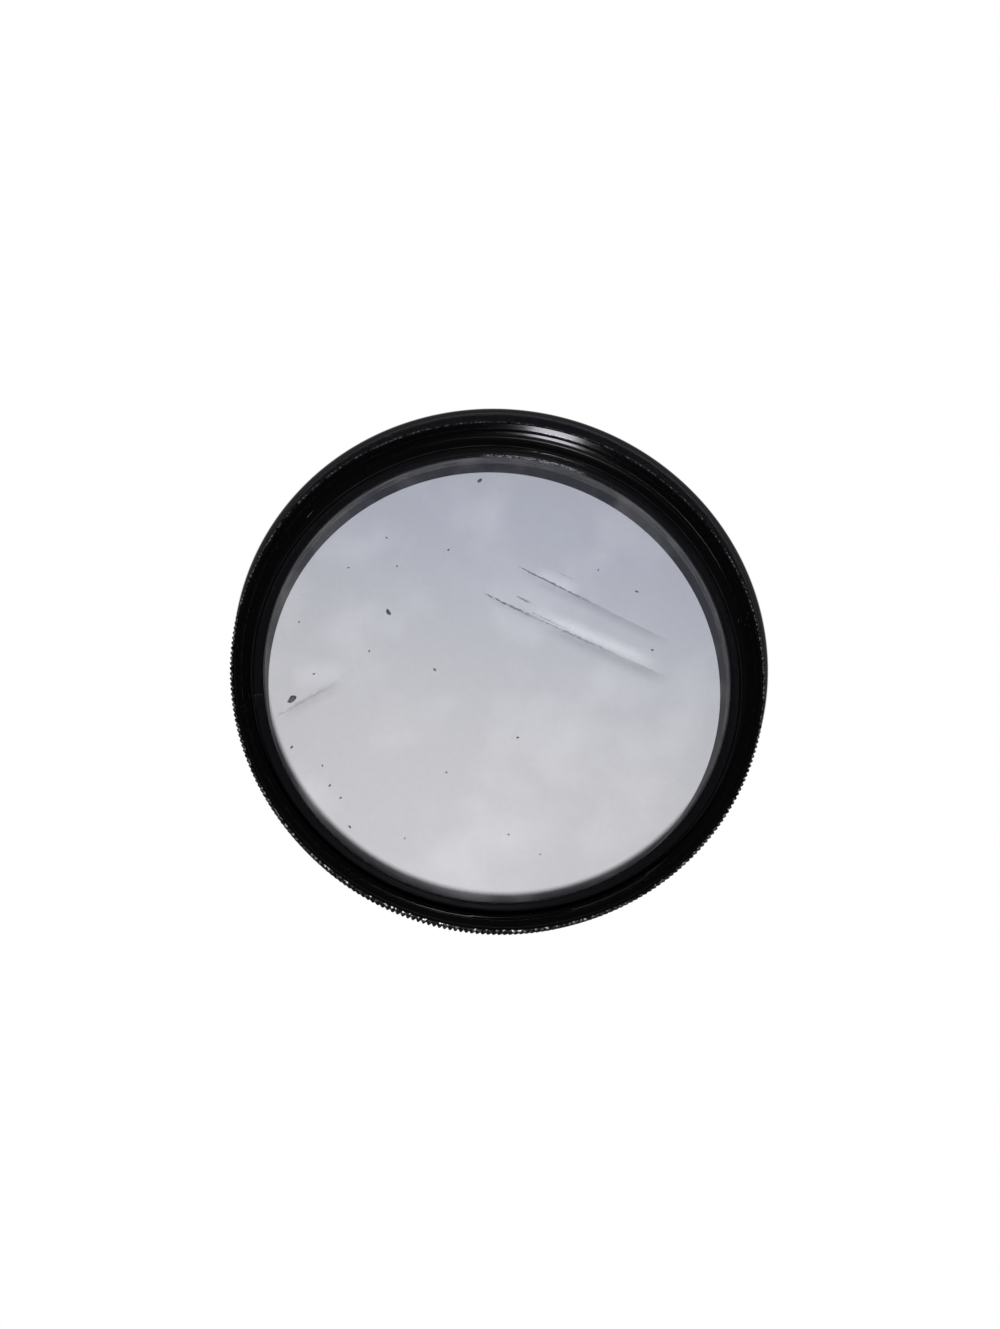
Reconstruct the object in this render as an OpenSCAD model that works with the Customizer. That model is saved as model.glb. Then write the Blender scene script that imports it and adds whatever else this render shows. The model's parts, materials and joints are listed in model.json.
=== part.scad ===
// Screw in lens filter: a knurled black rim with a female thread in front and a male thread behind,
// a round glass laid in it from the front, and a thin threaded ring that holds the glass down.
// Millimetres. The filter lies on the end of its male thread at z = 0, and its front faces up, +Z.

/* [Thread] */
// Nominal diameter of the filter thread, in front and behind
thread_d = 52; // [40:0.5:82]
// How far the crest of the male thread stays inside the nominal radius
male_allowance = 0.1; // [0.05:0.01:0.2]
// Length of the male thread, from its end to the rim's shoulder
male_length = 2; // [1.6:0.1:4]
// Wall from the crest of the male thread in to the clear bore
male_wall = 1.4; // [1.2:0.05:1.6]
// Chamfer on the end of the male thread
male_chamfer = 0.3; // [0.1:0.05:0.4]
// Chamfer on the rear edge of the clear bore
bore_chamfer = 0.2; // [0.1:0.05:0.3]
// Height of the relief groove between the male thread and the shoulder
relief_height = 0.4; // [0.2:0.05:0.6]
// Depth of the relief groove
relief_depth = 0.45; // [0.2:0.05:0.5]

/* [Rim] */
// Rim's thickness, from the nominal thread radius out to the tips of the teeth
rim_wall = 1.3; // [1.2:0.05:3]
// Depth of the front thread, from the front face down to the retaining ring
front_depth = 2.55; // [1.8:0.05:5]
// How far the counterbore at the mouth of the front thread is stepped out from it
counterbore_step = 0.1; // [0.05:0.01:0.2]
// Depth of the counterbore
counterbore_depth = 0.3; // [0.2:0.05:0.6]
// Height of the run-out groove at the inner end of the front thread
groove_height = 0.6; // [0.3:0.05:0.7]
// Depth of the run-out groove
groove_depth = 0.3; // [0.2:0.05:0.4]
// Height of the plain edge in front of the knurled band and behind it
plain_edge = 0.3; // [0.2:0.05:0.6]
// Chamfer on the two plain edges
edge_chamfer = 0.22; // [0.1:0.02:0.26]
// How far the tips of the teeth stand out past the plain edges
tooth_stand = 0.31; // [0.31:0.01:0.4]
// Depth of the grooves between the teeth
tooth_depth = 0.25; // [0.1:0.01:0.28]
// Distance from one tooth to the next round the rim
tooth_pitch = 0.536; // [0.5:0.002:1.2]

/* [Glass] */
// Thickness of the glass
glass_thickness = 1.5; // [0.8:0.1:3]
// Width of the ledge that the glass lies on
ledge_width = 0.6; // [0.4:0.05:0.65]
// How far the ledge stands above the shoulder
ledge_height = 0.4; // [0.3:0.05:1]
// Gap all round between the glass and its seat
glass_clearance = 0.1; // [0.05:0.01:0.2]
// Chamfer on both edges of the glass
glass_chamfer = 0.15; // [0.05:0.05:0.3]

/* [Retaining ring] */
// Height of the ring that holds the glass
ring_height = 0.65; // [0.5:0.05:1.5]
// Width of the ring
ring_width = 1.05; // [0.9:0.05:1.2]
// How far the ring's bore in the rim is stepped in from the front thread
ring_step = 0.5; // [0.3:0.05:0.6]
// Gap all round between the ring and its bore
ring_clearance = 0.05; // [0.02:0.01:0.1]
// Chamfer on the ring's two front edges
ring_chamfer = 0.2; // [0.1:0.05:0.25]
// Width of the two slots for a spanner
slot_width = 1.2; // [0.6:0.1:2]
// Depth of the slots
slot_depth = 0.3; // [0.15:0.05:0.35]
// Angle of the slots round the ring
slot_angle = 25; // [0:5:175]

/* [Hidden] */
$fn = 240;
cut = 1;

thread_r = thread_d/2;
crest_r = thread_r - male_allowance;
bore_r = crest_r - male_wall;
seat_r = bore_r + ledge_width;
ring_bore_r = thread_r - ring_step;
tip_r = thread_r + rim_wall;
root_r = tip_r - tooth_depth;
edge_r = tip_r - tooth_stand;
tooth_count = round(2*PI*tip_r/tooth_pitch);

seat_z = male_length + ledge_height;
glass_top_z = seat_z + glass_thickness;
ring_top_z = glass_top_z + ring_height;
front_z = ring_top_z + front_depth;
rim_height = front_z - male_length;

ring_outer_r = ring_bore_r - ring_clearance;
ring_inner_r = ring_outer_r - ring_width;

rim_black = [0.04, 0.04, 0.05];
ring_black = [0.06, 0.06, 0.07];
clear_glass = [0.78, 0.79, 0.84, 0.4];

// Outline of the knurling seen from the front: a tip and a groove by turns
module tooth_outline() {
    step = 360/tooth_count;
    polygon([
        for (i = [0:tooth_count - 1], k = [0, 1])
            let (r = k == 0 ? tip_r : root_r, a = (i + k/2)*step)
                [r*cos(a), r*sin(a)]
    ]);
}

// Turned blank of the rim, as it is in front of the knurled band and behind it
module rim_blank() {
    rotate_extrude()
        polygon([
            [0, male_length],
            [edge_r - edge_chamfer, male_length],
            [edge_r, male_length + edge_chamfer],
            [edge_r, front_z - edge_chamfer],
            [edge_r - edge_chamfer, front_z],
            [0, front_z]
        ]);
}

// Knurled band: straight grooves all round, with a flat end in front and behind
module knurled_band() {
    translate([0, 0, male_length + plain_edge])
        linear_extrude(rim_height - 2*plain_edge)
            tooth_outline();
}

// Male thread at its crest, with the end chamfer and the relief groove under the shoulder
module male_thread_blank() {
    rotate_extrude()
        polygon([
            [0, 0],
            [crest_r - male_chamfer, 0],
            [crest_r, male_chamfer],
            [crest_r, male_length - relief_height],
            [crest_r - relief_depth, male_length - relief_height],
            [crest_r - relief_depth, male_length + cut],
            [0, male_length + cut]
        ]);
}

// All that is bored out from the front: counterbore, front thread with its run-out groove, ring's
// bore, glass seat and clear bore
module bores() {
    mouth_r = thread_r + counterbore_step;
    rotate_extrude()
        polygon([
            [0, -cut],
            [bore_r + bore_chamfer + cut, -cut],
            [bore_r, bore_chamfer],
            [bore_r, seat_z],
            [seat_r, seat_z],
            [seat_r, glass_top_z],
            [ring_bore_r, glass_top_z],
            [ring_bore_r, ring_top_z],
            [thread_r + groove_depth, ring_top_z],
            [thread_r + groove_depth, ring_top_z + groove_height],
            [thread_r, ring_top_z + groove_height],
            [thread_r, front_z - counterbore_depth],
            [mouth_r, front_z - counterbore_depth],
            [mouth_r, front_z + cut],
            [0, front_z + cut]
        ]);
}

module rim() {
    color(rim_black)
        difference() {
            union() {
                rim_blank();
                knurled_band();
                male_thread_blank();
            }
            bores();
        }
}

module glass() {
    r = seat_r - glass_clearance;
    color(clear_glass)
        translate([0, 0, seat_z])
            rotate_extrude()
                polygon([
                    [0, 0],
                    [r - glass_chamfer, 0],
                    [r, glass_chamfer],
                    [r, glass_thickness - glass_chamfer],
                    [r - glass_chamfer, glass_thickness],
                    [0, glass_thickness]
                ]);
}

module retaining_ring() {
    color(ring_black)
        translate([0, 0, glass_top_z])
            difference() {
                rotate_extrude()
                    polygon([
                        [ring_inner_r, 0],
                        [ring_outer_r, 0],
                        [ring_outer_r, ring_height - ring_chamfer],
                        [ring_outer_r - ring_chamfer, ring_height],
                        [ring_inner_r + ring_chamfer, ring_height],
                        [ring_inner_r, ring_height - ring_chamfer]
                    ]);
                rotate(slot_angle)
                    translate([0, 0, ring_height - slot_depth + cut/2])
                        cube([2*(ring_outer_r + cut), slot_width, cut], center = true);
            }
}

rim();
glass();
retaining_ring();
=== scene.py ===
import json
import math
import random

import bpy
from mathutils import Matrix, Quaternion, Vector


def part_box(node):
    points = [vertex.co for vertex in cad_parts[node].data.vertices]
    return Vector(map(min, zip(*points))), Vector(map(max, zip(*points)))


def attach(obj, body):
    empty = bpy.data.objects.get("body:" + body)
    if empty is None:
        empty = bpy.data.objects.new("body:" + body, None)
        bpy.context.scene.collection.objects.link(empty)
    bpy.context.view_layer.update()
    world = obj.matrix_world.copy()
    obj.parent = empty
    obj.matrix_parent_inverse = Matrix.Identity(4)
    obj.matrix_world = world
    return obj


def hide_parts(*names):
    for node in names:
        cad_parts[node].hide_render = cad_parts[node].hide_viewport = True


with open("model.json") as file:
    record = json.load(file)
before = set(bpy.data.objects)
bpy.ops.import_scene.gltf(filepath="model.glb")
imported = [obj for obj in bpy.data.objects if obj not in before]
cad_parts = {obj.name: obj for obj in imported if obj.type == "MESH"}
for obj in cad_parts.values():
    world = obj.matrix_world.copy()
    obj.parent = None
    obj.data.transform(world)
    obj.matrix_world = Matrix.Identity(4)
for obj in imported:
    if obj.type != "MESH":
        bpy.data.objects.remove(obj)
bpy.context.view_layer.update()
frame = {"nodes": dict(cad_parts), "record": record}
print("packed frame loaded:", ", ".join(sorted(frame["nodes"])))

mm = 0.001
mounts = {mount["name"]: mount for mount in frame["record"]["mounts"]}


# drawing helpers: outlines are lists of (radius, height) in millimetres, turned round the Z axis

drawValues = {
    "arcShare": 0.293,  # of each end of a rounding in the middle of its arc
    "mergeDistance": 0.001,
    "cutDistance": 0.0001,
    "threadSteps": 320,  # round one turn of a thread
    "flatWeight": 90,
}


def clearSelection():
    if bpy.context.mode != "OBJECT":
        bpy.ops.object.mode_set(mode="OBJECT")
    bpy.ops.object.select_all(action="DESELECT")


def pick(piece):
    clearSelection()
    piece.select_set(True)
    bpy.context.view_layer.objects.active = piece


# corners are (radius, height, rounding); a rounding of 0 leaves the corner sharp
def roundCorners(corners):
    share = drawValues["arcShare"]
    outline = []
    for index, (r, z, rounding) in enumerate(corners):
        here = Vector((r, z))
        if rounding == 0:
            outline.append(here)
            continue
        before = Vector(corners[index - 1][:2]) - here
        after = Vector(corners[(index + 1) % len(corners)][:2]) - here
        first = here + before.normalized() * rounding
        last = here + after.normalized() * rounding
        outline += [first, (first + last) * share + here * (1 - 2 * share), last]
    return outline


# one vertex, extruded from point to point and back to its start
def drawOutline(name, outline):
    clearSelection()
    start = outline[0]
    bpy.ops.mesh.primitive_plane_add(size=mm, location=(start[0] * mm, 0, start[1] * mm))
    piece = bpy.context.active_object
    piece.name = name
    bpy.ops.object.transform_apply(location=True, rotation=True, scale=True)
    bpy.ops.object.mode_set(mode="EDIT")
    bpy.ops.mesh.merge(type="CENTER")
    for (r0, z0), (r1, z1) in zip(outline, outline[1:] + outline[:1]):
        step = ((r1 - r0) * mm, 0, (z1 - z0) * mm)
        bpy.ops.mesh.extrude_region_move(TRANSFORM_OT_translate={"value": step})
    bpy.ops.mesh.select_all(action="SELECT")
    bpy.ops.mesh.remove_doubles(threshold=drawValues["mergeDistance"] * mm)
    return piece


# test gets a vertex's radius, its angle from the X axis to either side, and its height
def selectVertices(piece, test):
    bpy.ops.object.mode_set(mode="EDIT")
    bpy.ops.mesh.select_mode(type="VERT")
    bpy.ops.mesh.select_all(action="DESELECT")
    bpy.ops.object.mode_set(mode="OBJECT")
    for vertex in piece.data.vertices:
        x, y, z = vertex.co / mm
        vertex.select = test(math.hypot(x, y), abs(math.atan2(y, x)), z)
    bpy.ops.object.mode_set(mode="EDIT")


def turn(angle, steps, copies=False):
    bpy.ops.mesh.spin(steps=steps, dupli=copies, angle=angle, center=(0, 0, 0), axis=(0, 0, 1))


def closeShell(sharpAngle):
    bpy.ops.mesh.select_all(action="SELECT")
    bpy.ops.mesh.remove_doubles(threshold=drawValues["mergeDistance"] * mm)
    bpy.ops.mesh.normals_make_consistent(inside=False)
    bpy.ops.object.mode_set(mode="OBJECT")
    bpy.ops.object.shade_smooth_by_angle(angle=math.radians(sharpAngle))


# wide flat faces stay flat up to their rounded edges; in metres their areas are too small to weigh
def keepFlats(piece):
    pick(piece)
    piece.scale = (1 / mm, 1 / mm, 1 / mm)
    bpy.ops.object.transform_apply(location=False, rotation=False, scale=True)
    weighted = piece.modifiers.new("flats", "WEIGHTED_NORMAL")
    weighted.keep_sharp = True
    weighted.weight = drawValues["flatWeight"]
    bpy.ops.object.modifier_apply(modifier=weighted.name)
    piece.scale = (mm, mm, mm)
    bpy.ops.object.transform_apply(location=False, rotation=False, scale=True)


# section of a thread's ridge: its foot is sunk in the wall, and it narrows up to its crest
def drawRidge(wall, crest, halfHeights, sink, waistRise):
    out = math.copysign(1, crest - wall)
    radii = (wall - out * sink, wall + out * waistRise, crest)
    lower = [(r, -half) for r, half in zip(radii, halfHeights)]
    return lower + [(r, -z) for r, z in reversed(lower)]


# a ridge's section swept up a right-handed helix, its two ends capped
def sweepThread(name, outline, pitch, fromHeight, toHeight):
    turns = (toHeight - fromHeight) / pitch
    piece = drawOutline(name, [(r, z + fromHeight) for r, z in outline])
    bpy.ops.object.mode_set(mode="OBJECT")
    helix = piece.modifiers.new("helix", "SCREW")
    helix.angle = 2 * math.pi * turns
    helix.screw_offset = pitch * turns * mm
    helix.steps = helix.render_steps = round(drawValues["threadSteps"] * turns)
    helix.use_merge_vertices = False
    bpy.ops.object.modifier_apply(modifier=helix.name)
    bpy.ops.object.mode_set(mode="EDIT")
    bpy.ops.mesh.select_all(action="DESELECT")
    bpy.ops.mesh.select_non_manifold()
    bpy.ops.mesh.fill_holes(sides=len(outline))
    bpy.ops.object.mode_set(mode="OBJECT")
    return piece


# over the first part of its first turn, the ridge rises out of its wall
def fadeStart(piece, foot, firstTurnTop, runOut):
    for vertex in piece.data.vertices:
        x, y, z = vertex.co / mm
        r = math.hypot(x, y)
        swept = math.atan2(y, x) % (2 * math.pi)
        if z <= firstTurnTop and swept < runOut:
            wanted = foot + (r - foot) * swept / runOut
            vertex.co.x *= wanted / r
            vertex.co.y *= wanted / r


def joinPieces(pieces):
    clearSelection()
    for piece in pieces:
        piece.select_set(True)
    bpy.context.view_layer.objects.active = pieces[0]
    bpy.ops.object.join()
    return pieces[0]


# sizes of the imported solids, in millimetres

rimBox, glassBox, ringBox = (
    [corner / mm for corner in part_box(node)] for node in ("rim", "glass", "retaining_ring")
)
tipRadius, frontHeight = rimBox[1].x, rimBox[1].z
glassRadius, ledgeHeight, glassTop = glassBox[1].x, glassBox[0].z, glassBox[1].z
ringRadius, ringTop = ringBox[1].x, ringBox[1].z
threadRadius = mounts["front_thread"]["dims"]["r_mm"]
threadMiddle = mounts["front_thread"]["pos_m"][2] / mm
threadLength = mounts["front_thread"]["dims"]["length_mm"]
crestRadius = mounts["male_thread"]["dims"]["r_mm"]
shoulderHeight = mounts["shoulder"]["pos_m"][2] / mm


# rim

rimValues = {
    "maleWall": 1.4,
    "maleChamfer": 0.3,
    "boreChamfer": 0.2,
    "seatGap": 0.1,
    "ringGap": 0.05,
    "grooveDepth": 0.3,
    "counterbore": 0.1,
    "plainEdge": 0.3,
    "edgeChamfer": 0.22,
    "toothStand": 0.31,
    "toothDepth": 0.25,
    "toothPitch": 0.536,
    "toothEndChamfer": 0.08,
    "tipWidthShare": 0.3,
    "tipCrown": 0.015,
    "selectShare": 0.01,  # of a tooth's angle, to find the vertices that lie at an angle
    "reliefHeight": 0.4,
    "reliefDepth": 0.45,
    "rounding": 0.03,
    "fineRounding": 0.02,
    "rearRounding": 0.04,
    "sharpAngle": 47,
    "threadPitch": 0.75,
    "threadDepth": 0.406,
    "femaleRidge": (0.345, 0.212, 0.095),  # half its height at the foot, the waist and the crest
    "maleRidge": (0.28, 0.17, 0.05),
    "ridgeSink": 0.03,
    "ridgeWaistRise": 0.2,
    "femaleFirst": 0.34,  # middle of the first turn above the thread's foot
    "femalePast": 0.35,  # how far it runs on into the counterbore, which cuts it off
    "maleFirst": 0.29,
    "maleShort": 0.1,
    "firstTurnRise": 0.4,
    "counterboreGap": 0.001,
    "runOut": 40,
    "threadStart": 133,
}


def makeRim():
    v = rimValues
    boreRadius = crestRadius - v["maleWall"]
    seatRadius = glassRadius + v["seatGap"]
    ringBore = ringRadius + v["ringGap"]
    grooveRadius = threadRadius + v["grooveDepth"]
    threadFrom = threadMiddle - threadLength / 2
    threadTo = threadMiddle + threadLength / 2
    mouthRadius = threadRadius + v["counterbore"]
    edgeRadius = tipRadius - v["toothStand"]
    maleRoot = crestRadius - v["threadDepth"]
    reliefFoot = shoulderHeight - v["reliefHeight"]
    reliefRadius = crestRadius - v["reliefDepth"]
    bandFoot = shoulderHeight + v["plainEdge"]
    bandTop = frontHeight - v["plainEdge"]
    end = v["toothEndChamfer"]
    chamfer = v["edgeChamfer"]
    rounding, fine, rear = v["rounding"], v["fineRounding"], v["rearRounding"]

    outline = roundCorners([
        (boreRadius + v["boreChamfer"], 0, rounding),
        (boreRadius, v["boreChamfer"], rounding),
        (boreRadius, ledgeHeight, rounding),
        (seatRadius, ledgeHeight, 0),
        (seatRadius, glassTop, 0),
        (ringBore, glassTop, 0),
        (ringBore, ringTop, 0),
        (grooveRadius, ringTop, 0),
        (grooveRadius, threadFrom, 0),
        (threadRadius, threadFrom, fine),
        (threadRadius, threadTo, 0),
        (mouthRadius, threadTo, 0),
        (mouthRadius, frontHeight, rounding),
        (edgeRadius - chamfer, frontHeight, fine),
        (edgeRadius, frontHeight - chamfer, fine),
        (edgeRadius, bandTop, 0),
        (tipRadius - end, bandTop, fine),
        (tipRadius, bandTop - end, fine),
        (tipRadius, bandFoot + end, fine),
        (tipRadius - end, bandFoot, fine),
        (edgeRadius, bandFoot, 0),
        (edgeRadius, shoulderHeight + chamfer, rear),
        (edgeRadius - chamfer, shoulderHeight, rear),
        (reliefRadius, shoulderHeight, 0),
        (reliefRadius, reliefFoot, 0),
        (maleRoot, reliefFoot, fine),
        (maleRoot, 0, rounding),
    ])
    rim = drawOutline("rim_turned", outline)

    # one tooth: its flank, the two halves of its tip and its other flank
    toothCount = round(2 * math.pi * tipRadius / v["toothPitch"])
    pitchAngle = 2 * math.pi / toothCount
    tipShare = v["tipWidthShare"]
    flankShare = (1 - tipShare) / 2
    for share in (flankShare, tipShare / 2, tipShare / 2, flankShare):
        turn(share * pitchAngle, 1)
    onBand = tipRadius - end - rounding
    near = v["selectShare"] * pitchAngle
    grooves = (0, pitchAngle)
    sides = (flankShare * pitchAngle, (1 - flankShare) * pitchAngle)
    for angles, depth in ((grooves, v["toothDepth"]), (sides, v["tipCrown"])):
        scale = 1 - depth / tipRadius
        selectVertices(rim, lambda r, a, z: r > onBand and min(abs(a - b) for b in angles) < near)
        bpy.ops.transform.resize(value=(scale, scale, 1), center_override=(0, 0, 0))

    # the tooth goes all the way round
    bpy.ops.mesh.select_all(action="SELECT")
    turn(2 * math.pi - pitchAngle, toothCount - 1, copies=True)
    closeShell(v["sharpAngle"])
    print("rim turned with", toothCount, "teeth:", len(rim.data.polygons), "faces")

    # female thread, cut off flat by the counterbore
    sink = v["ridgeSink"]
    waist = v["ridgeWaistRise"]
    runOut = math.radians(v["runOut"])
    crest = threadRadius - v["threadDepth"]
    first = threadFrom + v["femaleFirst"]
    female = sweepThread(
        "female_ridge", drawRidge(threadRadius, crest, v["femaleRidge"], sink, waist),
        v["threadPitch"], first, threadTo + v["femalePast"])
    fadeStart(female, threadRadius + sink, first + v["firstTurnRise"], runOut)
    pick(female)
    bpy.ops.object.mode_set(mode="EDIT")
    bpy.ops.mesh.select_all(action="SELECT")
    bpy.ops.mesh.bisect(
        plane_co=(0, 0, (threadTo - v["counterboreGap"]) * mm), plane_no=(0, 0, 1),
        clear_outer=True, threshold=drawValues["cutDistance"] * mm)
    bpy.ops.mesh.select_all(action="DESELECT")
    bpy.ops.mesh.select_non_manifold()
    bpy.ops.mesh.fill()
    bpy.ops.object.mode_set(mode="OBJECT")
    female.rotation_euler.z = math.radians(v["threadStart"])
    bpy.ops.object.transform_apply(location=True, rotation=True, scale=True)

    # male thread, trimmed by the chamfer on its end and by the relief groove
    first = v["maleFirst"]
    male = sweepThread(
        "male_ridge", drawRidge(maleRoot, crestRadius, v["maleRidge"], sink, waist),
        v["threadPitch"], first, reliefFoot - v["maleShort"])
    fadeStart(male, maleRoot - sink, first + v["firstTurnRise"], runOut)
    for vertex in male.data.vertices:
        x, y, z = vertex.co / mm
        trim = min(1, (crestRadius - v["maleChamfer"] + z) / math.hypot(x, y))
        vertex.co.x *= trim
        vertex.co.y *= trim
        vertex.co.z = min(z, reliefFoot) * mm

    for ridge in (female, male):
        pick(ridge)
        bpy.ops.object.mode_set(mode="EDIT")
        closeShell(v["sharpAngle"])
    rim = joinPieces([rim, female, male])
    keepFlats(rim)
    print("threads cut:", len(rim.data.polygons), "faces on the rim")
    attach(rim, "root")
    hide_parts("rim")
    return rim


# retaining ring

ringValues = {
    "width": 1.05,
    "chamfer": 0.2,
    "footRounding": 0.03,
    "outerRounding": 0.04,
    "innerRounding": 0.05,
    "steps": 720,
    "sharpAngle": 30,
    "slotWidth": 1.2,
    "slotDepth": 0.3,
    "slotAngle": 25,
    "cutterLength": 60,
    "cutterHeight": 1,
}


def makeRing():
    v = ringValues
    inner = ringRadius - v["width"]
    edge = v["chamfer"]
    ring = drawOutline("retaining_ring_turned", roundCorners([
        (inner, glassTop, v["footRounding"]),
        (ringRadius, glassTop, v["footRounding"]),
        (ringRadius, ringTop - edge, v["outerRounding"]),
        (ringRadius - edge, ringTop, v["outerRounding"]),
        (inner + edge, ringTop, 0),
        (inner, ringTop - edge, v["innerRounding"]),
    ]))
    turn(2 * math.pi, v["steps"])
    closeShell(v["sharpAngle"])

    # one bar cuts the two spanner slots
    clearSelection()
    height = v["cutterHeight"]
    middle = ringTop - v["slotDepth"] + height / 2
    bpy.ops.mesh.primitive_cube_add(size=1, location=(0, 0, middle * mm))
    cutter = bpy.context.active_object
    cutter.scale = (v["cutterLength"] * mm, v["slotWidth"] * mm, height * mm)
    cutter.rotation_euler.z = math.radians(v["slotAngle"])
    bpy.ops.object.transform_apply(location=True, rotation=True, scale=True)
    slots = ring.modifiers.new("slots", "BOOLEAN")
    slots.object = cutter
    slots.solver = "EXACT"
    pick(ring)
    bpy.ops.object.modifier_apply(modifier=slots.name)
    bpy.data.objects.remove(cutter)
    bpy.ops.object.shade_smooth_by_angle(angle=math.radians(v["sharpAngle"]))
    keepFlats(ring)
    print("retaining ring turned and slotted:", len(ring.data.polygons), "faces")
    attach(ring, "root")
    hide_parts("retaining_ring")
    return ring


# dust that lies on the glass: (x, y, length, turn) of each fleck in millimetres and degrees

dustValues = {
    "height": 0.05,
    "widthShare": 0.58,
    "raggedness": 0.22,
    "liftShare": 0.45,
    "seed": 4,
    "dark": (0.03, 0.029, 0.032),
    "pale": (0.13, 0.125, 0.13),
    "grainScale": 5,
    "roughness": 0.9,
    "flecks": [
        (-7.6, 20.1, 0.62, 55), (-12.9, 2.3, 0.74, 133), (-19.6, -9.4, 1.05, 62),
        (12.2, 12.0, 0.34, 0), (-6.5, -2.5, 0.36, 150), (3.6, -7.2, 0.32, 30),
        (-8.7, 11.0, 0.3, 60), (-13.5, 7.6, 0.26, 120), (-15.5, 10.5, 0.26, 160),
        (-13.6, -2.4, 0.26, 90), (-18.4, 6.0, 0.24, 10), (-21.5, -1.3, 0.26, 80),
        (-18.3, -6.3, 0.26, 30), (-18.1, -14.2, 0.36, 70), (-13.3, -16.9, 0.3, 60),
        (-14.6, -15.2, 0.24, 130), (15.2, 5.9, 0.34, 20), (-2.5, -12.6, 0.24, 0),
        (-11.9, -17.8, 0.26, 50), (-10.2, -20.3, 0.3, 140), (-4.7, -20.0, 0.22, 90),
        (5.1, -17.0, 0.22, 0), (8.6, -18.1, 0.2, 45), (7.6, 13.3, 0.26, 100),
    ],
}


def makeDust():
    v = dustValues
    ragged = v["raggedness"]
    chance = random.Random(v["seed"])
    flecks = []
    for x, y, length, angle in v["flecks"]:
        clearSelection()
        bpy.ops.mesh.primitive_ico_sphere_add(subdivisions=2, radius=0.5, location=(0, 0, 0))
        fleck = bpy.context.active_object
        for vertex in fleck.data.vertices:
            vertex.co *= 1 + chance.uniform(-ragged, ragged)
        fleck.scale = (length * mm, length * v["widthShare"] * mm, v["height"] * mm)
        fleck.rotation_euler.z = math.radians(angle)
        fleck.location = (x * mm, y * mm, (glassTop + v["liftShare"] * v["height"]) * mm)
        bpy.ops.object.transform_apply(location=True, rotation=True, scale=True)
        bpy.ops.object.shade_smooth()
        flecks.append(fleck)
    dust = joinPieces(flecks)
    dust.name = "glass_dust"
    dust.visible_shadow = False
    print("dust laid on the glass:", len(v["flecks"]), "flecks")
    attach(dust, "root")
    return dust


# shaders

# one socket of a shader: sums on it add Math nodes, and node() adds any other kind
class Wire:
    def __init__(self, tree, socket=None):
        self.tree = tree
        self.socket = socket

    def node(self, kind, settings=None, inputs=None, output=0):
        made = self.tree.nodes.new(kind)
        for name, value in (settings or {}).items():
            setattr(made, name, value)
        for name, value in (inputs or {}).items():
            if isinstance(value, Wire):
                self.tree.links.new(value.socket, made.inputs[name])
            else:
                made.inputs[name].default_value = value
        return Wire(self.tree, made.outputs[output] if len(made.outputs) else None)

    def output(self, name):
        return Wire(self.tree, self.socket.node.outputs[name])

    def maths(self, operation, *values, clamped=False):
        settings = {"operation": operation, "use_clamp": clamped}
        return self.node("ShaderNodeMath", settings, dict(enumerate(values)))

    def __add__(self, other):
        return self.maths("ADD", self, other)

    def __sub__(self, other):
        return self.maths("SUBTRACT", self, other)

    def __rsub__(self, other):
        return self.maths("SUBTRACT", other, self)

    def __mul__(self, other):
        return self.maths("MULTIPLY", self, other)

    def __truediv__(self, other):
        return self.maths("DIVIDE", self, other)

    def __pow__(self, other):
        return self.maths("POWER", self, other)

    __radd__ = __add__
    __rmul__ = __mul__

    # 0 below the first value, 1 above the second, and smooth between; the values may run down, and
    # both count from the start
    def between(self, first, second, start=0):
        settings = {"interpolation_type": "SMOOTHSTEP"}
        ends = {0: self, 1: start + first, 2: start + second, 3: 0, 4: 1}
        return self.node("ShaderNodeMapRange", settings, ends)

    def clamp(self):
        return self.maths("ADD", self, 0, clamped=True)

    def larger(self, other):
        return self.maths("MAXIMUM", self, other)

    def mixColours(self, factor, first, second):
        first = first if isinstance(first, Wire) else (*first, 1)
        second = second if isinstance(second, Wire) else (*second, 1)
        values = {0: factor, 6: first, 7: second}
        return self.node("ShaderNodeMix", {"data_type": "RGBA"}, values, 2)

    def mixFloats(self, factor, first, second):
        values = {0: factor, 2: first, 3: second}
        return self.node("ShaderNodeMix", {"data_type": "FLOAT"}, values)

    def noise(self, vector, scale, detail=2, roughness=0.5):
        return self.node("ShaderNodeTexNoise", {}, {
            "Vector": vector, "Scale": scale, "Detail": detail, "Roughness": roughness,
        })


def startMaterial(name):
    material = bpy.data.materials.new(name)
    material.use_nodes = True
    material.node_tree.nodes.clear()
    return material, Wire(material.node_tree)


# place on the object in millimetres: the point, its x, y and z, and its distance from the axis
def readPlace(wire):
    point = wire.node("ShaderNodeTexCoord", output="Object")
    point = wire.node("ShaderNodeVectorMath", {"operation": "SCALE"}, {0: point, "Scale": 1 / mm})
    x = wire.node("ShaderNodeSeparateXYZ", {}, {0: point})
    y, z = x.output("Y"), x.output("Z")
    radius = (x * x + y * y) ** 0.5
    return point, x, y, z, radius


# tool marks of a lathe: coarse round the axis and fine across it
def latheMarks(wire, x, y, z, radius, coarse, fine):
    place = wire.node("ShaderNodeCombineXYZ", {}, {
        0: x / radius * coarse, 1: y / radius * coarse, 2: (radius + z) * fine,
    })
    return wire.noise(place, 1, detail=3)


def finishSurface(wire, surface):
    wire.node("ShaderNodeOutputMaterial", {}, {"Surface": surface})


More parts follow.
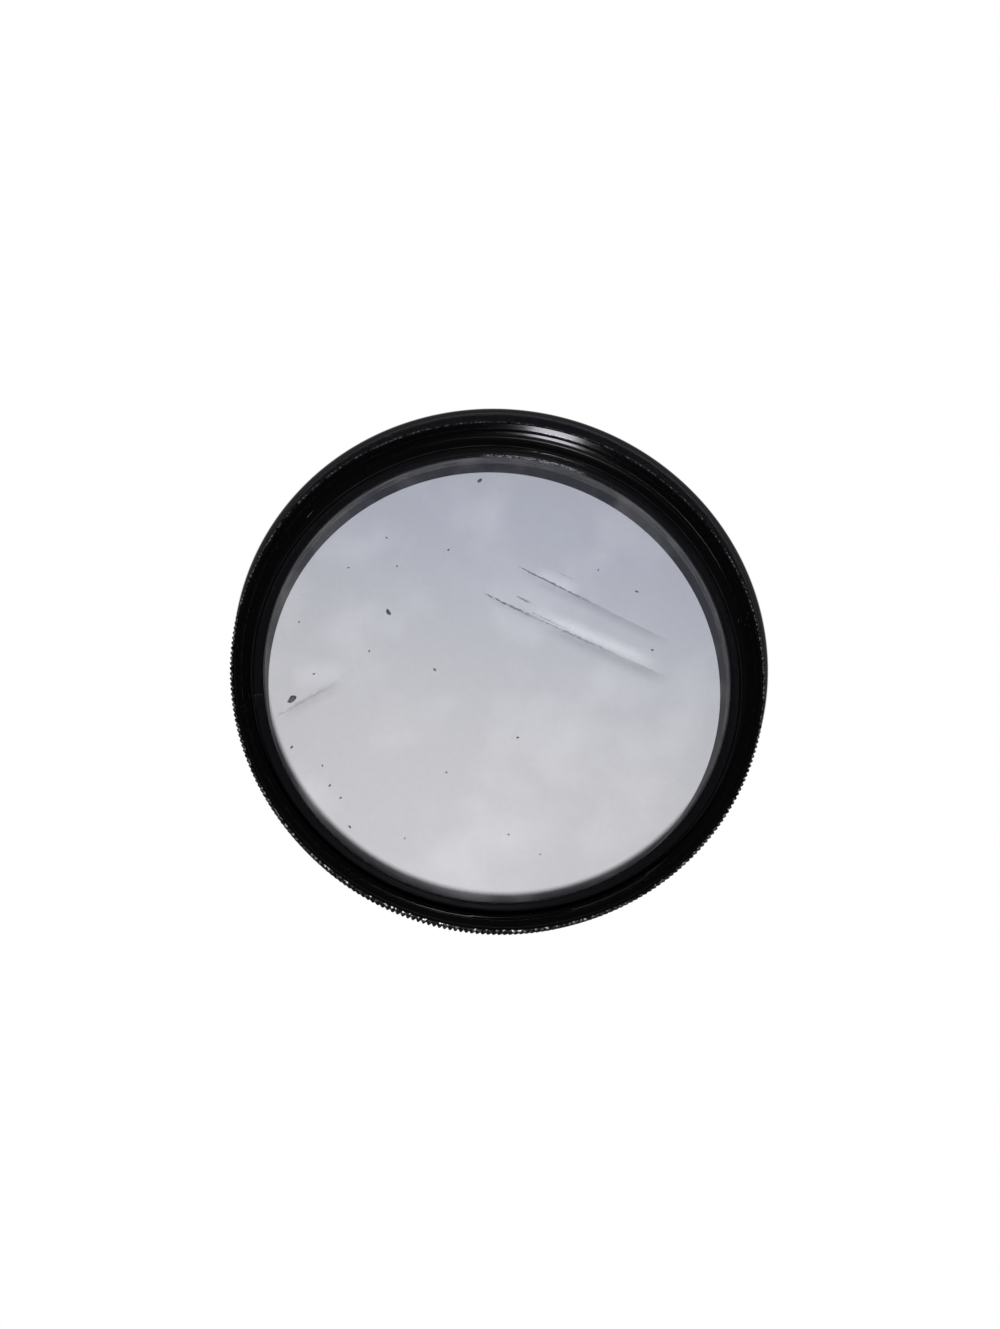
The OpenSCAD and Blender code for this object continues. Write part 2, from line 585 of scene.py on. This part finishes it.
blackValues = {
    "rimColour": (0.0014, 0.0014, 0.0017),
    "nearRimRoughness": 0.06,
    "farRimRoughness": 0.08,
    "rimIndex": 1.9,
    "ringColour": (0.004, 0.004, 0.005),
    "nearRingRoughness": 0.12,
    "farRingRoughness": 0.21,
    "ringIndex": 1.8,
    "nearToFar": (-20, 18),
    "mattColour": (0.002, 0.002, 0.0024),
    "mattRoughness": 0.45,
    "mattIndex": 1.12,
    "boreColour": (0.008, 0.008, 0.009),
    "seatColour": (0.085, 0.085, 0.09),
    "rubbedColour": (0.075, 0.075, 0.08),
    "bareMetal": (0.5, 0.5, 0.51),
    "bareSmoothing": 0.13,
    "dustGrey": (0.1, 0.1, 0.105),
    "dustShare": 0.5,
    "latheCoarse": 9,
    "rimLatheFine": 9,
    "ringLatheFine": 8,
    "markDepth": 0.006,
    "rimMarks": 0.2,
    "rimUnevenness": 0.05,
    "ringMarks": 0.3,
    "ringUnevenness": 0.1,
    "speckHeight": 0.35,
    "cloudScale": 0.9,
    "grainScale": 2.6,
    "speckScale": 7,
    "chipScale": 6,
    "chipCloudScale": 0.7,
    "chipCloudShare": 0.2,
    "chippedRoughness": 0.1,
    # how far from a named radius or height each finish begins, and where it is full
    "toothSide": (0.02, 0.08),
    "toothEnd": (-0.22, -0.04),
    "tipSide": (-0.1, -0.02),
    "bareSide": (-0.01, 0.01),
    "bareRoot": (0.1, 0.06),
    "bareEnd": (-0.12, -0.06),
    "grooveSide": (0, 0.1),
    "grooveTop": (0.06, 0.03),
    "grooveFoot": (-0.2, -0.1),
    "mattEdge": (-0.26, -0.24),
    "boreSide": (0.2, 0.14),
    "boreTop": (0.05, 0),
    "seatTop": (-0.1, -0.03),
    "chippedFoot": (0.06, 0.03),
    "ringWall": (0.01, -0.02),
    # how far a noise has to rise before each kind of wear shows, and before it is full
    "rubbedGrain": (0.36, 0.66),
    "tipCloud": (0.45, 0.65),
    "tipWear": 0.3,
    "bareGrain": (0.54, 0.66),
    "dustSpecks": (0.70, 0.76),
    "wallStreaks": (0.7, 0.1),
    "chippedGrain": (0.58, 0.64),
    "strayGrain": (0.76, 0.8),
    "strayShare": 0.5,
    "chippedFrom": (23.5, 24.2),  # the chips lie past this y, on a line that leans by chippedLean
    "chippedLean": 0.09,
}


def rimFinish():
    v = blackValues
    material, wire = startMaterial("black_anodised_rim")
    point, x, y, z, radius = readPlace(wire)
    lathe = latheMarks(wire, x, y, z, radius, v["latheCoarse"], v["rimLatheFine"])
    cloud = wire.noise(point, v["cloudScale"], detail=3)
    grain = wire.noise(point, v["grainScale"], roughness=0.6)
    specks = wire.noise(point, v["speckScale"], roughness=0.6)

    # front ends of the teeth: the black is rubbed off in patches
    edgeRadius = tipRadius - rimValues["toothStand"]
    rootRadius = tipRadius - rimValues["toothDepth"]
    bandTop = frontHeight - rimValues["plainEdge"]
    tooth = radius.between(*v["toothSide"], edgeRadius) * z.between(*v["toothEnd"], bandTop)
    rubbed = tooth * grain.between(*v["rubbedGrain"])
    # tips of the teeth down the side: rubbed less
    tips = radius.between(*v["tipSide"], tipRadius) * cloud.between(*v["tipCloud"])
    worn = rubbed.larger(tips * v["tipWear"])
    # bare metal on the inner half of some teeth's front ends
    corner = radius.between(*v["bareSide"], edgeRadius) * radius.between(*v["bareRoot"], rootRadius)
    bare = corner * z.between(*v["bareEnd"], bandTop) * grain.between(*v["bareGrain"])

    # matt black: the run-out groove's floor, and the front edge's chamfer and all outside it
    groove = radius.between(*v["grooveSide"], ringRadius) * z.between(*v["grooveTop"], ringTop)
    groove = groove * z.between(*v["grooveFoot"], ringTop)
    outer = radius.between(*v["mattEdge"], edgeRadius)
    # matt metal: the wall behind the glass and round its edge, palest at the top of the seat
    bore = radius.between(*v["boreSide"], glassRadius) * z.between(*v["boreTop"], glassTop)
    onSeat = z.between(*v["seatTop"], ledgeHeight)
    wall = wire.mixColours(onSeat, v["boreColour"], v["seatColour"])
    wall = wire.mixColours(lathe.between(*v["wallStreaks"]), wall, v["boreColour"])
    wall = wire.mixColours(outer + groove, wall, v["mattColour"])
    wall = wire.mixColours(worn, wall, v["rubbedColour"])
    wall = wire.mixColours(bare, wall, v["bareMetal"])

    # gloss black everywhere else, with a little dust
    dusty = specks.between(*v["dustSpecks"]) * v["dustShare"]
    colour = wire.mixColours(worn, v["rimColour"], v["rubbedColour"])
    colour = wire.mixColours(dusty, colour, v["dustGrey"])
    farther = y.between(*v["nearToFar"])
    roughness = wire.mixFloats(farther, v["nearRimRoughness"], v["farRimRoughness"])
    roughness = roughness + (lathe - 0.5) * v["rimUnevenness"]
    bump = wire.node("ShaderNodeBump", {}, {
        "Strength": v["rimMarks"], "Distance": v["markDepth"] * mm,
        "Height": lathe + specks * v["speckHeight"],
    })
    gloss = wire.node("ShaderNodeBsdfPrincipled", {}, {
        "Base Color": colour, "Roughness": roughness.clamp(), "IOR": v["rimIndex"], "Normal": bump,
    })
    matt = wire.node("ShaderNodeBsdfPrincipled", {}, {
        "Base Color": wall, "Roughness": v["mattRoughness"] - bare * v["bareSmoothing"],
        "Metallic": bare, "IOR": v["mattIndex"], "Normal": bump,
    })
    matted = bore.larger(outer.larger(groove))
    finishSurface(wire, wire.node("ShaderNodeMixShader", {}, {0: matted, 1: gloss, 2: matt}))
    return material


def ringFinish():
    v = blackValues
    material, wire = startMaterial("black_anodised_ring")
    point, x, y, z, radius = readPlace(wire)
    lathe = latheMarks(wire, x, y, z, radius, v["latheCoarse"], v["ringLatheFine"])
    grains = wire.noise(point, v["chipScale"], detail=3, roughness=0.65)
    grains = grains + wire.noise(point, v["chipCloudScale"]) * v["chipCloudShare"]

    # at the foot of the inner wall the black is chipped off in specks, most of them at the far side
    inner = ringRadius - ringValues["width"]
    foot = radius.between(*v["chippedFoot"], inner)
    farSide = (y - x * v["chippedLean"]).between(*v["chippedFrom"])
    chipped = grains.between(*v["chippedGrain"]) * farSide
    chipped = chipped + grains.between(*v["strayGrain"]) * v["strayShare"]
    chipped = (foot * chipped).clamp()
    colour = wire.mixColours(chipped, v["ringColour"], v["bareMetal"])
    farther = y.between(*v["nearToFar"])
    roughness = wire.mixFloats(farther, v["nearRingRoughness"], v["farRingRoughness"])
    roughness = roughness + (lathe - 0.5) * v["ringUnevenness"] + chipped * v["chippedRoughness"]
    bump = wire.node("ShaderNodeBump", {}, {
        "Strength": v["ringMarks"], "Distance": v["markDepth"] * mm, "Height": lathe,
    })
    gloss = wire.node("ShaderNodeBsdfPrincipled", {}, {
        "Base Color": colour, "Roughness": roughness.clamp(), "Metallic": chipped,
        "IOR": v["ringIndex"], "Normal": bump,
    })
    # the inner wall and its chamfer are matt
    matt = wire.node("ShaderNodeBsdfPrincipled", {}, {
        "Base Color": (*v["ringColour"], 1), "Roughness": v["mattRoughness"],
        "IOR": v["mattIndex"],
    })
    wall = radius.between(*v["ringWall"], inner + ringValues["chamfer"])
    matted = (wall - chipped).clamp()
    finishSurface(wire, wire.node("ShaderNodeMixShader", {}, {0: matted, 1: gloss, 2: matt}))
    return material


# marks on the glass: start and end, width of the dark line, share of the length where it ends,
# width and strength of the painted shade on its right, and strength of the line; painted highlight
# bands: start and end, width to either side, and strength
glassValues = {
    "nearTint": (0.11, 0.11, 0.12),
    "farTint": (0.1, 0.105, 0.13),
    "tintFade": (-6, 20),
    # pale tint for the random clouds and for the painted highlight bands
    "lightTint": (0.82, 0.82, 0.86),
    "film": 0.15,
    "roughness": 0.03,
    "index": 1.5,
    "cloudScale": 0.16,
    "cloudStrength": 0.10,
    "mottleScale": 1.3,
    "mottleStrength": 0.08,
    "wobbleScale": 1.6,
    "lineWobble": 0.45,
    "bandWobble": 0.6,
    "frayScale": 2.4,
    "frayed": (0.34, 0.52),
    "speckScale": 3.1,
    "specks": (0.735, 0.79),
    "speckStrength": 0.25,
    "topFace": (-0.1, -0.05),
    "lineStart": (0, 0.08),  # starts and ends are shares of a stroke's length
    "lineFade": 0.3,
    "lineSlimmest": 0.6,
    "lineGrowth": 1.8,
    "lineEdge": (1.2, 0.2),
    "shadeSide": (-0.05, 0.05),
    "shadeStart": (0, 0.3),
    "shadeEnd": (1.05, 0.8),
    "bandStart": (0, 0.35),
    "bandEnd": (1, 0.65),
    "tintSoftness": 0.05,
    "smears": [
        ((-1.4, 11.35), (17.0, 7.4), 0.11, 0.62, 1.4, 0.22, 0.9),
        ((-3.9, 7.2), (3.8, 5.7), 0.12, 1.1, 0.9, 0.12, 0.75),
        ((2.2, 6.0), (17.4, 3.4), 0.17, 0.75, 1.8, 0.26, 0.4),
        ((-0.3, 7.9), (1.6, 7.4), 0.11, 1.1, 0.3, 0.05, 0.7),
        ((1.5, 6.5), (7.5, 5.4), 0.07, 0.9, 0.2, 0.0, 0.5),
        ((3.2, 11.9), (6.4, 11.1), 0.07, 0.8, 0.2, 0.0, 0.3),
        ((-20.6, -11.6), (-15.7, -6.2), 0.18, 1.1, 1.5, 0.14, 0.22),
    ],
    "lightBands": [
        ((1.5, 6.9), (16.8, 4.5), 0.95, 0.2),
        ((0.5, 11.6), (6.5, 10.3), 0.9, 0.08),
        ((-21.0, -8.0), (-15.0, -4.4), 2.0, 0.03),
    ],
}


# share of the way along a stroke, and the distance to its right
def alongStroke(x, y, start, end):
    dx, dy = end[0] - start[0], end[1] - start[1]
    length = math.hypot(dx, dy)
    along = ((x - start[0]) * dx + (y - start[1]) * dy) / length ** 2
    aside = ((x - start[0]) * dy - (y - start[1]) * dx) / length
    return along, aside


def glassFinish():
    v = glassValues
    material, wire = startMaterial("filter_glass")
    point, x, y, z = readPlace(wire)[:4]
    cloud = wire.noise(point, v["cloudScale"], detail=3)
    mottle = wire.noise(point, v["mottleScale"], detail=4, roughness=0.7)
    wobble = wire.noise(point, v["wobbleScale"], detail=4, roughness=0.8) - 0.5
    fray = wire.noise(point, v["frayScale"], detail=3, roughness=0.7).between(*v["frayed"])
    specks = wire.noise(point, v["speckScale"]).between(*v["specks"])
    onTop = z.between(*v["topFace"], glassTop)

    # dark: dust specks, then each mark's dark line and the painted shade on its right
    dark = specks * v["speckStrength"]
    for start, end, core, coreEnd, reach, shade, strength in v["smears"]:
        along, aside = alongStroke(x, y, start, end)
        aside = aside + wobble * v["lineWobble"]
        span = along.between(*v["lineStart"]) * along.between(coreEnd, coreEnd * v["lineFade"])
        width = (along * v["lineGrowth"] + v["lineSlimmest"]) * core
        line = (wire.maths("ABSOLUTE", aside) / width).between(*v["lineEdge"]) * fray * span
        # painted shade along the right of the line, fading in and out along it
        side = aside.between(*v["shadeSide"]) * aside.between(reach, 0)
        side = side * along.between(*v["shadeStart"]) * along.between(*v["shadeEnd"])
        dark = dark + line * strength + side * shade
    # light: pale clouds at random, plus painted highlight bands beside the marks
    light = (cloud - 0.5) * v["cloudStrength"]
    for start, end, reach, strength in v["lightBands"]:
        along, aside = alongStroke(x, y, start, end)
        aside = aside + wobble * v["bandWobble"]
        band = wire.maths("ABSOLUTE", aside).between(reach, 0) * along.between(*v["bandStart"])
        light = light + band * along.between(*v["bandEnd"]) * strength
    light = light.clamp()
    dark = dark.clamp()
    tint = wire.mixColours(y.between(*v["tintFade"]), v["nearTint"], v["farTint"])
    # the tint turns pale where the clouds and the painted highlight outweigh the dark
    tint = wire.mixColours(light / (light + dark + v["tintSoftness"]), tint, v["lightTint"])
    alpha = v["film"] + onTop * (dark + light + (mottle - 0.5) * v["mottleStrength"])
    finishSurface(wire, wire.node("ShaderNodeBsdfPrincipled", {}, {
        "Base Color": tint, "Roughness": v["roughness"], "IOR": v["index"],
        "Alpha": alpha.clamp(),
    }))
    return material


def dustFinish():
    v = dustValues
    material, wire = startMaterial("grey_dust")
    point = readPlace(wire)[0]
    grain = wire.noise(point, v["grainScale"], detail=3)
    colour = wire.mixColours(grain, v["dark"], v["pale"])
    finishSurface(wire, wire.node("ShaderNodeBsdfPrincipled", {}, {
        "Base Color": colour, "Roughness": v["roughness"],
    }))
    return material


def dress(piece, material):
    piece.data.materials.clear()
    piece.data.materials.append(material)


dress(makeRim(), rimFinish())
dress(makeRing(), ringFinish())
dress(makeDust(), dustFinish())
dress(frame["nodes"]["glass"], glassFinish())
frame["nodes"]["glass"].visible_shadow = False
print("pieces dressed")


# floor, light and camera

studioValues = {
    "floorSize": 6,
    "nearPaper": (0.635, 0.635, 0.665),
    "farPaper": (0.555, 0.578, 0.665),
    "paperFade": (-12, 21),
    # painted shadow: near black paper colour along the outer part of the rim's cast shadow
    "shadowEdgePaper": (0.05, 0.05, 0.052),
    "shadowEdge": (-0.9, -0.3),  # from the shadow's outline: where the paper turns dark
    "whiteEdge": (0.02, 0.17),  # and where it turns white
    "darkRoom": 0.004,
    "flashPlace": (1.2, -52.1, 98.6),
    "flashSize": (13, 13),
    "flashLevel": 1.05,
    "flashConstantShare": 0.35,
    "rearPlace": (-3.8, 239, 346),
    "rearSize": (26, 26),
    "rearRadiance": 6.2,
    "rearColour": (0.92, 0.92, 1),
    "softPlace": (-5, 205, 390),
    "softSize": (62, 120),
    "softRadiance": 0.45,
}


# 1 where the camera sees a surface, directly or through the glass, and 0 for its light on others
def seenByCamera(wire):
    ray = wire.node("ShaderNodeLightPath", output="Is Camera Ray")
    return (ray + ray.output("Is Transmission Ray")).clamp()


# paper shows inside the rim's cast shadow, and plain white outside it
def makeFloor():
    v = studioValues
    clearSelection()
    bpy.ops.mesh.primitive_plane_add(size=v["floorSize"])
    floor = bpy.context.active_object
    floor.name = "floor"
    material, wire = startMaterial("pale_paper")
    x, y = readPlace(wire)[1:3]
    flash = Vector(v["flashPlace"])
    toothTop = frontHeight - rimValues["plainEdge"]
    above = flash.z - toothTop
    offX, offY = x + flash.x * toothTop / above, y + flash.y * toothTop / above
    past = (offX * offX + offY * offY) ** 0.5 - tipRadius * flash.z / above
    pale = wire.mixColours(y.between(*v["paperFade"]), v["nearPaper"], v["farPaper"])
    # painted shadow: the paper's colour turns near black over the outer part of the rim's cast
    # shadow, a dark line round the rim
    pale = wire.mixColours(past.between(*v["shadowEdge"]), pale, v["shadowEdgePaper"])
    paper = wire.node("ShaderNodeBsdfDiffuse", {}, {"Color": pale})
    white = wire.node("ShaderNodeEmission", {}, {"Color": (1, 1, 1, 1), "Strength": 1})
    outside = past.between(*v["whiteEdge"]) * seenByCamera(wire)
    finishSurface(wire, wire.node("ShaderNodeMixShader", {}, {0: outside, 1: paper, 2: white}))
    dress(floor, material)


def makeWorld():
    world = bpy.data.worlds.new("dark_room")
    bpy.context.scene.world = world
    world.use_nodes = True
    world.node_tree.nodes.clear()
    wire = Wire(world.node_tree)
    dark = studioValues["darkRoom"]
    level = dark + seenByCamera(wire) * (1 - dark)
    sky = wire.node("ShaderNodeBackground", {}, {"Color": (1, 1, 1, 1), "Strength": level})
    wire.node("ShaderNodeOutputWorld", {}, {"Surface": sky})


def makeLamp(name, place, size, watts):
    clearSelection()
    bpy.ops.object.light_add(type="AREA", location=Vector(place) * mm)
    lamp = bpy.context.active_object
    lamp.name = name
    lamp.data.shape = "ELLIPSE"
    lamp.data.size, lamp.data.size_y = size[0] * mm, size[1] * mm
    lamp.data.energy = watts
    lamp.rotation_mode = "QUATERNION"
    aim = Vector((0, 0, frontHeight * mm)) - lamp.location
    lamp.rotation_quaternion = aim.to_track_quat("-Z", "Y")
    return lamp


# watts of a disc that lights a level surface at the middle to that share of white
def wattsFor(place, level):
    away = Vector(place) * mm
    cosine = away.z / away.length
    return level * math.pi * away.length ** 2 / cosine * math.pi


def makeLight():
    v = studioValues
    watts = wattsFor(v["flashPlace"], v["flashLevel"])
    flash = makeLamp("flash", v["flashPlace"], v["flashSize"], watts)
    flash.data.use_nodes = True
    flash.data.node_tree.nodes.clear()
    wire = Wire(flash.data.node_tree)
    away = Vector(v["flashPlace"]).length * mm
    falloff = wire.node("ShaderNodeLightFalloff", {}, {"Strength": 1}, output="Linear")
    share = v["flashConstantShare"]
    strength = falloff * ((1 - share) / away) + falloff.output("Constant") * (share / away ** 2)
    emission = wire.node("ShaderNodeEmission", {}, {"Strength": strength})
    wire.node("ShaderNodeOutputLight", {}, {"Surface": emission})

    for part in ("rear", "soft"):
        width, depth = v[part + "Size"]
        area = math.pi * width * depth * mm ** 2 / 4
        watts = v[part + "Radiance"] * math.pi * area
        lamp = makeLamp(part + "_lamp", v[part + "Place"], (width, depth), watts)
        lamp.data.color = v["rearColour"]


cameraValues = {
    "place": (0, -31.096, 98.358),
    "aim": (-0.0913, -1.1472, 7.1),
    "roll": 14.83,
    "lens": 34.17,
    "sensor": 36,
    "clip": (0.001, 10),
}


def makeCamera():
    v = cameraValues
    clearSelection()
    bpy.ops.object.camera_add(location=Vector(v["place"]) * mm)
    camera = bpy.context.active_object
    camera.name = "camera"
    camera.data.lens = v["lens"]
    camera.data.sensor_width = v["sensor"]
    camera.data.sensor_fit = "HORIZONTAL"
    camera.data.clip_start, camera.data.clip_end = v["clip"]
    camera.rotation_mode = "QUATERNION"
    look = (Vector(v["aim"]) - Vector(v["place"])).to_track_quat("-Z", "Y")
    camera.rotation_quaternion = look @ Quaternion((0, 0, 1), math.radians(v["roll"]))
    bpy.context.scene.camera = camera


makeFloor()
makeWorld()
makeLight()
makeCamera()
bpy.context.scene.view_settings.view_transform = "Standard"
print("floor, light and camera set")
